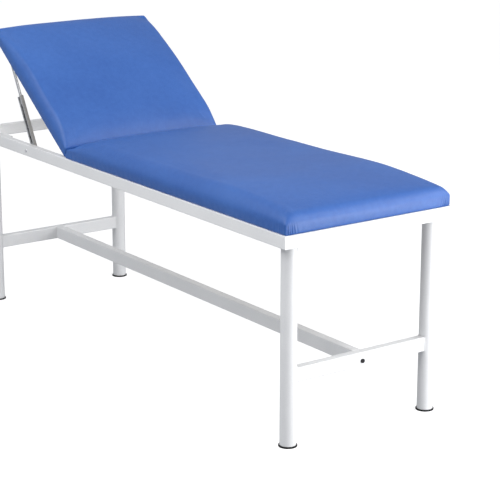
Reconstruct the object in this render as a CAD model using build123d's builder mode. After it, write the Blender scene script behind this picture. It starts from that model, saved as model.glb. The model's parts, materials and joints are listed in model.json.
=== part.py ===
from build123d import *

import math
import os

os.makedirs("parts", exist_ok=True)

# Examination couch with a hinged backrest held by two ratchet stays.
# Frame of the model: origin on the floor below the middle of the top frame, +X towards the
# foot end, +Y towards the far side, +Z up.  All sizes are in millimetres.

# ---------------------------------------------------------------- driving sizes
# top frame of rectangular tube
frame_length = 1900.0
frame_width = 630.0
frame_height = 655.0            # floor to the top of the rails
rail_width = 25.0
rail_height = 40.0
rail_wall = 1.5
rail_edge_radius = 2.5

# legs and floor glides
leg_diameter = 50.0
leg_wall = 1.5
leg_end_inset = 43.0            # leg axis to the frame's end face
leg_side_inset = 48.0           # leg axis to the frame's side face
glide_diameter = 57.0
glide_thickness = 5.0
glide_edge_radius = 1.6
glide_plug_depth = 18.0
plug_thickness = 12.0
corner_plate_size = 90.0
corner_plate_thickness = 4.0
corner_plate_cut = 40.0
leg_bolt_diameter = 10.0
leg_bolt_length = 22.0
leg_bolt_flats = 17.0
leg_bolt_head_height = 6.4

# stretchers between the legs
stretcher_top = 242.0
stretcher_height = 45.0
stretcher_width = 30.0
stretcher_wall = 1.5
stretcher_edge_radius = 3.0
stretcher_bolt_diameter = 8.0
stretcher_bolt_head = 13.0      # head diameter
stretcher_bolt_head_height = 3.6
stretcher_bolt_drop = 4.0       # bolt axis below the tube's middle
end_plug_length = 12.0

# boards and cushions
board_thickness = 12.0
pad_width = 624.0
pad_thickness = 58.0            # cushion above its board
pad_edge_radius = 28.0
pad_corner_radius = 30.0
pad_end_inset = 3.0             # cushion back from the frame's foot end
board_margin = 3.0              # board back from the edge of its cushion
board_corner_radius = 14.0
backrest_length = 605.0         # hinge axis to the top end of the cushion

# backrest hinge
hinge_x = -300.0
fold_angle = 36.0               # backrest above the flat position
knuckle_radius = 3.5
hinge_pin_radius = 1.75
leaf_thickness = 2.0
leaf_width = 30.0
leaf_length = 60.0
hinge_spacing = 400.0           # between the middles of the two hinges
cover_hem = 0.8                 # folded cover between a board and the rails under it
board_seat_gap = 0.4            # flat backrest's hem above the rails
board_hinge_margin = 6.0        # board edge back from the hinge axis
pad_hinge_margin = 3.0          # cushion back from the hinge axis, at its level
leaf_screw_diameter = 4.0
leaf_screw_head = 7.5
leaf_screw_length = 11.0
screws_per_leaf = 3

# ratchet stays
stay_pivot_x = -560.0
stay_pivot_drop = 20.0          # lower pivot below the top of the rails
stay_top_along = 533.0          # upper pivot from the hinge axis, along the backrest
stay_top_drop = 13.0            # upper pivot below the backrest board
stay_offset = 11.0              # middle plane of the bar, inside the rail's inner face
bar_width = 13.0
bar_thickness = 5.0
bar_eye_radius = 9.0
bar_edge_chamfer = 0.8
bar_length = 205.0              # upper pivot to the bar's lower end
channel_length = 200.0          # lower pivot to the channel's mouth
channel_tail = 12.0             # channel past the lower pivot
channel_depth = 12.0
channel_wall = 2.0
channel_lip = 2.5
lip_thickness = 1.5
rack_width = 5.5
rack_thickness = 8.0
rack_start = 30.0               # lower end of the rack from the lower pivot
tooth_depth = 2.5
notch_steps = 4                 # steps from flat to the raised position
pivot_bolt_diameter = 6.0
pivot_head_diameter = 11.5
pivot_head_height = 3.4
pivot_head_crown = 2.7          # edge radius of the domed head
pivot_nut_size = 10.0           # across flats
pivot_nut_height = 6.0
spacer_diameter = 12.0
bracket_plate = 2.5
bracket_length = 46.0
bracket_flange = 30.0
bracket_ear_foot = 12.5         # half width of an ear where it leaves the plate
bracket_screw_head_height = 1.9
rivet_diameter = 6.0
rivet_head_diameter = 10.0
rivet_head_height = 2.0
pawl_thickness = 1.4
pawl_pin_radius = 2.0
pawl_reach = 17.0               # pawl pin to the tip of its nose
pawl_from_end = 24.0            # pawl pin from the bar's lower end
pawl_pin_side = 1.0             # pawl pin to the foot side of the bar's middle line

# board screws, up through the cross rails
board_screw_diameter = 5.0
board_screw_head = 10.0
board_screw_head_height = 2.5
board_screw_bite = 9.0          # depth of the screw in the board
board_screw_spacing = 440.0

# clearances
fit = 0.05                      # radial, between a pin or plug and its hole
weld_gap = 0.05                 # between a coped tube and the leg it is welded to
running_gap = 0.3               # between faces that move past each other

# ---------------------------------------------------------------- worked-out places
SIDES = {"near": -1, "far": 1}
ENDS = {"head": -1, "foot": 1}
half_length = frame_length / 2
half_width = frame_width / 2
rail_bottom = frame_height - rail_height
rail_middle = frame_height - rail_height / 2
rail_inner_y = half_width - rail_width
leg_x = half_length - leg_end_inset
leg_y = half_width - leg_side_inset
leg_radius = leg_diameter / 2
leg_bore_radius = leg_radius - leg_wall
stretcher_middle = stretcher_top - stretcher_height / 2

# the hinge axis lies along Y; the backrest's plane starts on it
hinge_z = frame_height + cover_hem + board_seat_gap - knuckle_radius
lift = math.radians(fold_angle)
back_plane = Plane(
    origin=(hinge_x, 0, hinge_z),
    x_dir=(-math.cos(lift), 0, math.sin(lift)),
    z_dir=(math.sin(lift), 0, math.cos(lift)),
)
# the main section's plane starts on the same axis and points to the foot end
seat_plane = Plane(origin=(hinge_x, 0, hinge_z), x_dir=(1, 0, 0), z_dir=(0, 0, 1))
back_board_level = knuckle_radius
seat_board_level = frame_height + cover_hem - hinge_z
seat_length = half_length - pad_end_inset - hinge_x

# stays: from the lower pivot on the rail to the upper pivot under the backrest
stay_pivot_z = frame_height - stay_pivot_drop
stay_y = rail_inner_y - stay_offset
upper_pivot = back_plane.from_local_coords(
    Vector(stay_top_along, 0, back_board_level - stay_top_drop)
)
stay_run = Vector(upper_pivot.X - stay_pivot_x, 0, upper_pivot.Z - stay_pivot_z)
stay_length = stay_run.length
stay_direction = stay_run.normalized()
flat_run_x = hinge_x - stay_top_along - stay_pivot_x
flat_run_z = hinge_z + back_board_level - stay_top_drop - stay_pivot_z
stay_travel = stay_length - math.hypot(flat_run_x, flat_run_z)
notch_pitch = stay_travel / notch_steps


def save(piece, name):
    """Labels a finished piece and writes its STEP file."""
    piece.part.label = name
    export_step(piece.part, f"parts/{name}.step")


# ---------------------------------------------------------------- top frame
def mitre_outline(length, near_edge, far_edge):
    """Corners of a strip cut at 45 degrees at both ends, measured from the outer face."""
    half = length / 2
    return [
        (near_edge - half, near_edge),
        (half - near_edge, near_edge),
        (half - far_edge, far_edge),
        (far_edge - half, far_edge),
    ]


def mitred_rail(plane, length, bolt_x=None):
    """Rectangular tube with mitred ends. The plane's Y points to the inside of the frame."""
    with BuildPart() as rail:
        with BuildSketch(plane):
            with BuildLine():
                Polyline(*mitre_outline(length, 0, rail_width), close=True)
            make_face()
        extrude(amount=rail_height)
        fillet(rail.edges().filter_by(Axis((0, 0, 0), plane.x_dir)), radius=rail_edge_radius)
        with BuildSketch(plane.offset(rail_wall)):
            with BuildLine():
                Polyline(*mitre_outline(length, rail_wall, rail_width - rail_wall), close=True)
            make_face()
        extrude(amount=rail_height - 2 * rail_wall, mode=Mode.SUBTRACT)
        if bolt_x is not None:
            outer_face = Plane(
                origin=(bolt_x, plane.origin.Y, stay_pivot_z), x_dir=(1, 0, 0), z_dir=plane.y_dir
            )
            with BuildSketch(outer_face):
                Circle(pivot_bolt_diameter / 2 + fit)
            extrude(amount=rail_width, mode=Mode.SUBTRACT)
    return rail


for side_name, side in SIDES.items():
    outer = Plane(origin=(0, side * half_width, rail_bottom), x_dir=(-side, 0, 0), z_dir=(0, 0, 1))
    save(mitred_rail(outer, frame_length, stay_pivot_x), f"{side_name}_side_rail")

for end_name, end in ENDS.items():
    outer = Plane(origin=(end * half_length, 0, rail_bottom), x_dir=(0, end, 0), z_dir=(0, 0, 1))
    save(mitred_rail(outer, frame_width), f"{end_name}_rail")


def board_screw_places(x):
    """The two screws of one cross rail."""
    return [(x, y * board_screw_spacing / 2) for y in SIDES.values()]


def cross_rail(x, with_hinges=False):
    """Tube between the side rails, with holes for the board screws."""
    with BuildPart() as rail:
        with BuildSketch(Plane(origin=(x, 0, rail_middle), x_dir=(1, 0, 0), z_dir=(0, -1, 0))):
            RectangleRounded(rail_width, rail_height, rail_edge_radius)
            Rectangle(rail_width - 2 * rail_wall, rail_height - 2 * rail_wall, mode=Mode.SUBTRACT)
        extrude(amount=rail_inner_y, both=True)
        with BuildSketch(Plane.XY.offset(rail_bottom)):
            with Locations(*board_screw_places(x)):
                Circle(board_screw_diameter / 2 + fit)
        extrude(amount=rail_height, mode=Mode.SUBTRACT)
        if with_hinges:
            with BuildSketch(Plane(origin=(x - rail_width / 2, 0, 0), x_dir=(0, 1, 0), z_dir=(1, 0, 0))):
                with Locations(*[(y, fixed_screw_z) for y in leaf_screw_rows]):
                    Circle(leaf_screw_diameter / 2 + fit)
            extrude(amount=rail_wall, mode=Mode.SUBTRACT)
    return rail


# the fixed leaf lies on the hinge rail's head-side face, so the rail's place follows the knuckle
hinge_rail_x = hinge_x + knuckle_radius + rail_width / 2
screw_pitch = leaf_length / screws_per_leaf
screw_offsets = [(i - (screws_per_leaf - 1) / 2) * screw_pitch for i in range(screws_per_leaf)]
leaf_screw_rows = [
    side * hinge_spacing / 2 + offset for side in SIDES.values() for offset in screw_offsets
]
leaf_screw_out = knuckle_radius + (leaf_width - knuckle_radius) / 2
fixed_screw_z = hinge_z - leaf_screw_out

cross_rail_count = 2
cross_rail_step = (half_length - rail_width / 2 - hinge_rail_x) / (cross_rail_count + 1)
middle_rail_x = hinge_rail_x + cross_rail_step
foot_cross_x = hinge_rail_x + 2 * cross_rail_step

save(cross_rail(hinge_rail_x, with_hinges=True), "hinge_rail")
save(cross_rail(middle_rail_x), "middle_cross_rail")
save(cross_rail(foot_cross_x), "foot_cross_rail")

# ---------------------------------------------------------------- legs
CORNERS = {
    f"{side_name}_{end_name}": (end, side)
    for side_name, side in SIDES.items()
    for end_name, end in ENDS.items()
}
leg_centres = [(end * leg_x, side * leg_y) for end, side in CORNERS.values()]

for corner_name, (end, side) in CORNERS.items():
    centre = (end * leg_x, side * leg_y)

    # welded between the two rails of its corner, level with their undersides
    with BuildPart() as corner_plate:
        with BuildSketch(Plane.XY.offset(rail_bottom)):
            inner_x = half_length - rail_width
            cut_size = corner_plate_size - corner_plate_cut
            outline = [
                (inner_x, rail_inner_y),
                (inner_x, rail_inner_y - corner_plate_size),
                (inner_x - cut_size, rail_inner_y - corner_plate_size),
                (inner_x - corner_plate_size, rail_inner_y - cut_size),
                (inner_x - corner_plate_size, rail_inner_y),
            ]
            with BuildLine():
                Polyline(*[(end * x, side * y) for x, y in outline], close=True)
            make_face()
            with Locations(centre):
                Circle(leg_bolt_diameter / 2 + fit, mode=Mode.SUBTRACT)
        extrude(amount=corner_plate_thickness)
    save(corner_plate, f"{corner_name}_corner_plate")

    with BuildPart() as leg:
        with BuildSketch(Plane.XY.offset(glide_thickness)):
            with Locations(centre):
                Circle(leg_radius)
                Circle(leg_bore_radius, mode=Mode.SUBTRACT)
        extrude(amount=rail_bottom - glide_thickness)
    save(leg, f"{corner_name}_leg")

    with BuildPart() as glide:
        with BuildSketch(Plane.XY):
            with Locations(centre):
                Circle(glide_diameter / 2)
        extrude(amount=glide_thickness)
        fillet(glide.edges().group_by(Axis.Z)[-1], radius=glide_edge_radius)
        with BuildSketch(Plane.XY.offset(glide_thickness)):
            with Locations(centre):
                Circle(leg_bore_radius - fit)
        extrude(amount=glide_plug_depth)
    save(glide, f"{corner_name}_glide")

with BuildPart() as leg_top_plugs:
    with BuildSketch(Plane.XY.offset(rail_bottom - plug_thickness)):
        with Locations(*leg_centres):
            Circle(leg_bore_radius - fit)
            Circle(leg_bolt_diameter / 2 + fit, mode=Mode.SUBTRACT)
    extrude(amount=plug_thickness)
save(leg_top_plugs, "leg_top_plugs")

plate_top = rail_bottom + corner_plate_thickness
with BuildPart() as leg_bolts:
    with BuildSketch(Plane.XY.offset(plate_top - leg_bolt_length)):
        with Locations(*leg_centres):
            Circle(leg_bolt_diameter / 2)
    extrude(amount=leg_bolt_length)
    with BuildSketch(Plane.XY.offset(plate_top)):
        with Locations(*leg_centres):
            RegularPolygon(leg_bolt_flats / 2, 6, major_radius=False)
    extrude(amount=leg_bolt_head_height)
save(leg_bolts, "leg_bolts")

# ---------------------------------------------------------------- stretchers
bolt_z = stretcher_middle - stretcher_bolt_drop
bolt_line = Plane(origin=(0, 0, bolt_z), x_dir=(0, 1, 0), z_dir=(1, 0, 0))

for end_name, end in ENDS.items():
    # tube between two legs, its ends shaped to the round legs
    with BuildPart() as stretcher:
        with BuildSketch(
            Plane(origin=(end * leg_x, 0, stretcher_middle), x_dir=(1, 0, 0), z_dir=(0, -1, 0))
        ):
            RectangleRounded(stretcher_width, stretcher_height, stretcher_edge_radius)
            Rectangle(
                stretcher_width - 2 * stretcher_wall,
                stretcher_height - 2 * stretcher_wall,
                mode=Mode.SUBTRACT,
            )
        extrude(amount=leg_y, both=True)
        with BuildSketch(Plane.XY.offset(stretcher_top - stretcher_height)):
            with Locations(*[(end * leg_x, side * leg_y) for side in SIDES.values()]):
                Circle(leg_radius + weld_gap)
        extrude(amount=stretcher_height, mode=Mode.SUBTRACT)
        with BuildSketch(bolt_line.offset(end * leg_x)):
            Circle(stretcher_bolt_diameter / 2 + fit)
        extrude(amount=stretcher_width / 2, both=True, mode=Mode.SUBTRACT)
    save(stretcher, f"{end_name}_stretcher")

long_half = leg_x - stretcher_width / 2
with BuildPart() as long_stretcher:
    with BuildSketch(Plane(origin=(0, 0, stretcher_middle), x_dir=(0, 1, 0), z_dir=(1, 0, 0))):
        RectangleRounded(stretcher_width, stretcher_height, stretcher_edge_radius)
        Rectangle(
            stretcher_width - 2 * stretcher_wall,
            stretcher_height - 2 * stretcher_wall,
            mode=Mode.SUBTRACT,
        )
    extrude(amount=long_half, both=True)
save(long_stretcher, "long_stretcher")

with BuildPart() as stretcher_end_plugs:
    for end in ENDS.values():
        with BuildSketch(bolt_line.offset(end * long_half)):
            with Locations((0, stretcher_bolt_drop)):
                Rectangle(
                    stretcher_width - 2 * (stretcher_wall + fit),
                    stretcher_height - 2 * (stretcher_wall + fit),
                )
            Circle(stretcher_bolt_diameter / 2 + fit, mode=Mode.SUBTRACT)
        extrude(amount=-end * end_plug_length)
save(stretcher_end_plugs, "stretcher_end_plugs")

with BuildPart() as stretcher_bolts:
    for end in ENDS.values():
        outer_face_x = end * (leg_x + stretcher_width / 2)
        with BuildSketch(bolt_line.offset(outer_face_x)):
            Circle(stretcher_bolt_diameter / 2)
        extrude(amount=-end * (stretcher_width + end_plug_length))
        with BuildSketch(bolt_line.offset(outer_face_x)):
            Circle(stretcher_bolt_head / 2)
        extrude(amount=end * stretcher_bolt_head_height)
save(stretcher_bolts, "stretcher_bolts")


# ---------------------------------------------------------------- boards and cushions
def vertical_edges(piece, plane):
    """Edges of a block that run through its thickness, upright or leaning."""
    mostly = 0.9                # cosine beyond which an edge counts as lying in the plane
    return ShapeList(
        edge
        for edge in piece.edges()
        if abs(edge.tangent_at(0.5).dot(plane.x_dir)) < mostly
        and abs(edge.tangent_at(0.5).dot(plane.y_dir)) < mostly
    )


def side_view(plane):
    """Plane of the side view: X along the section, Y away from its board."""
    return Plane(origin=plane.origin, x_dir=plane.x_dir, z_dir=-plane.y_dir)


def cushion(plane, board_level, length):
    """Padded block on its board. Its hinge end leans back by half of the fold."""
    bottom = board_level + board_thickness
    top = bottom + pad_thickness
    lean = math.tan(lift / 2)
    with BuildPart() as pad:
        with BuildSketch(side_view(plane)):
            with BuildLine():
                Polyline(
                    (pad_hinge_margin + bottom * lean, bottom),
                    (pad_hinge_margin + top * lean, top),
                    (length, top),
                    (length, bottom),
                    close=True,
                )
            make_face()
        extrude(amount=pad_width / 2, both=True)
        fillet(vertical_edges(pad, plane), radius=pad_corner_radius)
        top_face = pad.faces().sort_by(Axis(plane.origin, plane.z_dir))[-1]
        fillet(top_face.edges(), radius=pad_edge_radius)
    return pad


def board(plane, board_level, length, screw_places, screw_radius, screw_depth):
    """Plywood board with blind screw holes in its underside."""
    board_length = length - board_margin - board_hinge_margin
    with BuildPart() as panel:
        with BuildSketch(plane.offset(board_level)):
            with Locations((board_hinge_margin + board_length / 2, 0)):
                RectangleRounded(board_length, pad_width - 2 * board_margin, board_corner_radius)
        extrude(amount=board_thickness)
        with BuildSketch(plane.offset(board_level)):
            with Locations(*screw_places):
                Circle(screw_radius + fit)
        extrude(amount=screw_depth, mode=Mode.SUBTRACT)
    return panel


seat_screws = [
    (x - hinge_x, y)
    for rail_x in (hinge_rail_x, middle_rail_x, foot_cross_x)
    for x, y in board_screw_places(rail_x)
]
save(cushion(seat_plane, seat_board_level, seat_length), "main_pad")
save(
    board(
        seat_plane,
        seat_board_level,
        seat_length,
        seat_screws,
        board_screw_diameter / 2,
        board_screw_bite,
    ),
    "main_board",
)

with BuildPart() as board_screws:
    with BuildSketch(Plane.XY.offset(rail_bottom)):
        with Locations(*[(x + hinge_x, y) for x, y in seat_screws]):
            Circle(board_screw_diameter / 2)
    extrude(amount=rail_height + board_screw_bite)
    with BuildSketch(Plane.XY.offset(rail_bottom)):
        with Locations(*[(x + hinge_x, y) for x, y in seat_screws]):
            Circle(board_screw_head / 2)
    extrude(amount=-board_screw_head_height)
save(board_screws, "board_screws")

# ---------------------------------------------------------------- backrest hinges
leaf_screw_bite = leaf_screw_length - leaf_thickness
bracket_screw_across = stay_y - bar_thickness / 2 - running_gap - bracket_plate - bracket_flange / 2
bracket_screw_places = [
    (stay_top_along + i * bracket_length / 3, side * bracket_screw_across)
    for side in SIDES.values()
    for i in (-1, 0, 1)
]
back_screws = [(leaf_screw_out, y) for y in leaf_screw_rows] + bracket_screw_places
save(cushion(back_plane, back_board_level, backrest_length), "backrest_pad")
save(
    board(
        back_plane,
        back_board_level,
        backrest_length,
        back_screws,
        leaf_screw_diameter / 2,
        leaf_screw_bite,
    ),
    "backrest_board",
)

knuckle_length = leaf_length / 3
# the fixed leaf hangs down the hinge rail's face; its back is the plane of that face
drop_plane = Plane(origin=(hinge_x, 0, hinge_z), x_dir=(0, 0, -1), z_dir=(1, 0, 0))


def hinge_leaf(plane, middle_y, knuckle_places, other_places):
    """Leaf that runs along the plane's X from the hinge axis, with its back at knuckle height."""
    flip = plane.y_dir.Y
    centre = middle_y * flip
    with BuildPart() as leaf:
        with BuildSketch(plane.offset(knuckle_radius - leaf_thickness)):
            with Locations((leaf_width / 2, centre)):
                Rectangle(leaf_width, leaf_length)
        extrude(amount=leaf_thickness)
        # room for the other leaf's knuckles
        for place in other_places:
            with BuildSketch(side_view(plane).offset(-centre - place)):
                Circle(knuckle_radius + running_gap)
            extrude(amount=knuckle_length / 2 + running_gap / 2, both=True, mode=Mode.SUBTRACT)
        for place in knuckle_places:
            with BuildSketch(side_view(plane).offset(-centre - place)):
                Circle(knuckle_radius)
            extrude(amount=(knuckle_length - running_gap) / 2, both=True)
        with BuildSketch(side_view(plane).offset(-centre)):
            Circle(hinge_pin_radius + fit)
        extrude(amount=leaf_length / 2, both=True, mode=Mode.SUBTRACT)
        with Locations(plane.offset(knuckle_radius - leaf_thickness)):
            with Locations(
                *[
                    Location((leaf_screw_out, centre + along, 0), (180, 0, 0))
                    for along in screw_offsets
                ]
            ):
                CounterSinkHole(
                    radius=leaf_screw_diameter / 2 + fit,
                    counter_sink_radius=leaf_screw_head / 2 + fit,
                    depth=leaf_thickness,
                    counter_sink_angle=90,
                )
    return leaf


for side_name, side in SIDES.items():
    middle_y = side * hinge_spacing / 2
    save(
        hinge_leaf(drop_plane, middle_y, (-knuckle_length, knuckle_length), (0,)),
        f"{side_name}_hinge_fixed_leaf",
    )
    save(
        hinge_leaf(back_plane, middle_y, (0,), (-knuckle_length, knuckle_length)),
        f"{side_name}_hinge_moving_leaf",
    )
    with BuildPart() as hinge_pin:
        with BuildSketch(Plane(origin=(hinge_x, middle_y, hinge_z), x_dir=(1, 0, 0), z_dir=(0, 1, 0))):
            Circle(hinge_pin_radius)
        extrude(amount=leaf_length / 2, both=True)
    save(hinge_pin, f"{side_name}_hinge_pin")


def countersunk_screws(plane, places):
    """Flat-headed screws whose heads are flush with the plane; they point along its normal."""
    head_depth = (leaf_screw_head - leaf_screw_diameter) / 2
    with BuildPart() as screws:
        with BuildSketch(plane):
            with Locations(*places):
                Circle(leaf_screw_diameter / 2)
        extrude(amount=leaf_screw_length)
        with BuildSketch(plane):
            with Locations(*places):
                Circle(leaf_screw_head / 2)
        extrude(amount=head_depth, taper=45)
    return screws


leaf_face = knuckle_radius - leaf_thickness
save(
    countersunk_screws(
        drop_plane.offset(leaf_face),
        [(leaf_screw_out, y * drop_plane.y_dir.Y) for y in leaf_screw_rows],
    ),
    "fixed_leaf_screws",
)
save(
    countersunk_screws(back_plane.offset(leaf_face), [(leaf_screw_out, y) for y in leaf_screw_rows]),
    "moving_leaf_screws",
)

# ---------------------------------------------------------------- ratchet stays
# In a stay's own plane X runs up the stay, Y across it and Z outwards from the couch's middle.
bar_clear = bar_width / 2 + running_gap
rack_outer = bar_clear + rack_width
channel_head = rack_outer + channel_wall
channel_foot = bar_clear + channel_wall
bar_face = bar_thickness / 2
web_back = channel_depth / 2


def strip(head_edge, foot_edge, low, high, head):
    """A strip along the stay, from one distance across it to another."""
    middle_x = (low + high) / 2
    middle_y = head * (head_edge - foot_edge) / 2
    with Locations((middle_x, middle_y)):
        Rectangle(high - low, head_edge + foot_edge)


for side_name, side in SIDES.items():
    stay_plane = Plane(
        origin=(stay_pivot_x, side * stay_y, stay_pivot_z),
        x_dir=stay_direction,
        z_dir=(0, side, 0),
    )
    head = -side                # the sign of the head side across the stay

    # pressed channel, open outwards, with folded lips that keep the bar in
    with BuildPart() as channel:
        with BuildSketch(stay_plane.offset(-web_back)):
            strip(channel_head, channel_foot, -channel_tail, channel_length, head)
        extrude(amount=channel_depth)
        with BuildSketch(stay_plane.offset(channel_wall - web_back)):
            strip(rack_outer, bar_clear, -channel_tail, channel_length, head)
        extrude(amount=channel_depth - channel_wall - lip_thickness, mode=Mode.SUBTRACT)
        with BuildSketch(stay_plane.offset(channel_wall - web_back)):
            strip(
                rack_outer - channel_lip, bar_clear - channel_lip, -channel_tail, channel_length, head
            )
            # the lips stop short of the spacer round the pivot bolt
            strip(rack_outer, bar_clear, -channel_tail, spacer_diameter, head)
        extrude(amount=channel_depth, mode=Mode.SUBTRACT)
        with BuildSketch(stay_plane.offset(-web_back)):
            Circle(pivot_bolt_diameter / 2 + fit)
        extrude(amount=channel_wall, mode=Mode.SUBTRACT)
    save(channel, f"{side_name}_stay_channel")

    # toothed strip welded in the channel's head side
    with BuildPart() as rack:
        with BuildSketch(stay_plane.offset(channel_wall - web_back)):
            with BuildLine():
                crest = bar_clear
                points = [(channel_length, rack_outer), (rack_start, rack_outer), (rack_start, crest)]
                first_notch = stay_length - bar_length + pawl_from_end - pawl_reach - stay_travel
                for i in range(notch_steps + 1):
                    notch = first_notch + i * notch_pitch
                    points.append((notch - tooth_depth, crest))
                    points.append((notch - tooth_depth, crest + tooth_depth))
                    points.append((notch + tooth_depth, crest))
                points.append((channel_length, crest))
                Polyline(*[(x, head * y) for x, y in points], close=True)
            make_face()
        extrude(amount=rack_thickness)
    save(rack, f"{side_name}_stay_rack")

    # flat bar with an eye at its upper end
    bar_low = stay_length - bar_length
    pawl_pin_x = bar_low + pawl_from_end
    pawl_pin_y = -head * pawl_pin_side
    with BuildPart() as bar:
        with BuildSketch(stay_plane.offset(-bar_face)):
            strip(bar_width / 2, bar_width / 2, bar_low, stay_length, head)
            with Locations((stay_length, 0)):
                Circle(bar_eye_radius)
                Circle(rivet_diameter / 2 + fit, mode=Mode.SUBTRACT)
            with Locations((pawl_pin_x, pawl_pin_y)):
                Circle(pawl_pin_radius + fit, mode=Mode.SUBTRACT)
        extrude(amount=bar_thickness)
        chamfer(bar.faces().sort_by(Axis.Y)[0].outer_wire().edges(), length=bar_edge_chamfer)
        chamfer(bar.faces().sort_by(Axis.Y)[-1].outer_wire().edges(), length=bar_edge_chamfer)
    save(bar, f"{side_name}_stay_bar")

    # catch on the bar's outer face; its nose stands just clear of the teeth
    with BuildPart() as pawl:
        with BuildSketch(stay_plane.offset(bar_face + running_gap)):
            with BuildLine():
                nose_x = pawl_pin_x - pawl_reach
                nose_y = head * (bar_clear - running_gap)
                Polyline(
                    (pawl_pin_x + 2 * pawl_pin_radius, pawl_pin_y),
                    (pawl_pin_x, pawl_pin_y + head * 2 * pawl_pin_radius),
                    (nose_x + pawl_pin_radius, nose_y),
                    (nose_x, nose_y),
                    (nose_x + pawl_pin_radius, pawl_pin_y),
                    (pawl_pin_x, pawl_pin_y - head * 2 * pawl_pin_radius),
                    close=True,
                )
            make_face()
        extrude(amount=pawl_thickness)
        with BuildSketch(stay_plane.offset(bar_face + running_gap)):
            with Locations((pawl_pin_x, pawl_pin_y)):
                Circle(pawl_pin_radius)
        extrude(amount=-(bar_thickness + running_gap))
    save(pawl, f"{side_name}_stay_pawl")

    # U-shaped bracket under the backrest board, open to the bar
    local_side = side * back_plane.y_dir.Y
    eye_level = back_board_level - stay_top_drop
    ear_low = bar_face + running_gap
    ear_high = ear_low + bracket_plate
    eye_side = side_view(back_plane)
    with BuildPart() as bracket:
        with BuildSketch(back_plane.offset(back_board_level - bracket_plate)):
            inner_edge = stay_y - ear_high - bracket_flange
            outer_edge = stay_y + ear_high
            with Locations((stay_top_along, local_side * (inner_edge + outer_edge) / 2)):
                Rectangle(bracket_length, outer_edge - inner_edge)
            with Locations(*[(x, y) for x, y in bracket_screw_places if y * local_side > 0]):
                Circle(leaf_screw_diameter / 2 + fit, mode=Mode.SUBTRACT)
        extrude(amount=bracket_plate)
        for ear_start in (stay_y + ear_low, stay_y - ear_high):
            across = -local_side * ear_start
            with BuildSketch(eye_side.offset(across)):
                with BuildLine():
                    Polyline(
                        (stay_top_along - bar_eye_radius, eye_level),
                        (stay_top_along - bracket_ear_foot, back_board_level - bracket_plate),
                        (stay_top_along + bracket_ear_foot, back_board_level - bracket_plate),
                        (stay_top_along + bar_eye_radius, eye_level),
                        close=True,
                    )
                make_face()
                with Locations((stay_top_along, eye_level)):
                    Circle(bar_eye_radius)
                    Circle(rivet_diameter / 2 + fit, mode=Mode.SUBTRACT)
            extrude(amount=-local_side * bracket_plate)
    save(bracket, f"{side_name}_stay_bracket")

with BuildPart() as bracket_rivets:
    for side in SIDES.values():
        for inner, outward in ((stay_y + ear_low, 1), (stay_y - ear_low, -1)):
            inner_face = Plane(
                origin=(upper_pivot.X, side * inner, upper_pivot.Z),
                x_dir=(1, 0, 0),
                z_dir=(0, side * outward, 0),
            )
            with BuildSketch(inner_face):
                Circle(rivet_diameter / 2)
            extrude(amount=bracket_plate)
            with BuildSketch(inner_face.offset(bracket_plate)):
                Circle(rivet_head_diameter / 2)
            extrude(amount=rivet_head_height)
save(bracket_rivets, "bracket_rivets")

with BuildPart() as bracket_screws:
    with BuildSketch(back_plane.offset(back_board_level - bracket_plate)):
        with Locations(*bracket_screw_places):
            Circle(leaf_screw_diameter / 2)
    extrude(amount=bracket_plate + leaf_screw_bite)
    with BuildSketch(back_plane.offset(back_board_level - bracket_plate)):
        with Locations(*bracket_screw_places):
            Circle(leaf_screw_head / 2)
    extrude(amount=-bracket_screw_head_height)
save(bracket_screws, "bracket_screws")

# lower pivots: bolt through the side rail, spacer inside the channel, nut behind its web
web_outer_y = stay_y - web_back + channel_wall
nut_face_y = stay_y - web_back - running_gap
with BuildPart() as stay_bolts:
    for side in SIDES.values():
        rail_face = Plane(
            origin=(stay_pivot_x, side * half_width, stay_pivot_z), x_dir=(1, 0, 0), z_dir=(0, side, 0)
        )
        with BuildSketch(rail_face):
            Circle(pivot_bolt_diameter / 2)
        extrude(amount=nut_face_y - pivot_nut_height - half_width)
        with BuildSketch(rail_face):
            Circle(pivot_head_diameter / 2)
        extrude(amount=pivot_head_height)
        fillet(
            stay_bolts.edges().group_by(Axis.Y)[-1 if side > 0 else 0],
            radius=pivot_head_crown,
        )
save(stay_bolts, "stay_bolts")

with BuildPart() as stay_spacers:
    for side in SIDES.values():
        with BuildSketch(
            Plane(
                origin=(stay_pivot_x, side * rail_inner_y, stay_pivot_z),
                x_dir=(1, 0, 0),
                z_dir=(0, side, 0),
            )
        ):
            Circle(spacer_diameter / 2)
            Circle(pivot_bolt_diameter / 2 + fit, mode=Mode.SUBTRACT)
        extrude(amount=web_outer_y + running_gap - rail_inner_y)
save(stay_spacers, "stay_spacers")

with BuildPart() as stay_nuts:
    for side in SIDES.values():
        with BuildSketch(
            Plane(
                origin=(stay_pivot_x, side * nut_face_y, stay_pivot_z),
                x_dir=(1, 0, 0),
                z_dir=(0, side, 0),
            )
        ):
            RegularPolygon(pivot_nut_size / 2, 6, major_radius=False)
            Circle(pivot_bolt_diameter / 2 + fit, mode=Mode.SUBTRACT)
        extrude(amount=-pivot_nut_height)
save(stay_nuts, "stay_nuts")
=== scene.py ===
# %% [markdown]
# # Examination couch
# A couch of this kind is a welded tube frame in white powder coat, with two padded sections in
# blue vinyl. The backrest turns on two butt hinges and is held up by a ratchet stay on each side.
# The CAD model already holds every rigid piece in its right place, so it is loaded first and is
# never moved. This script gives each piece its finish, and makes what CAD leaves plain.

# %% Load the fixed frame
import json
import math

import bmesh
import bpy
import numpy as np
from mathutils import Matrix, Vector, noise


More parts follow.
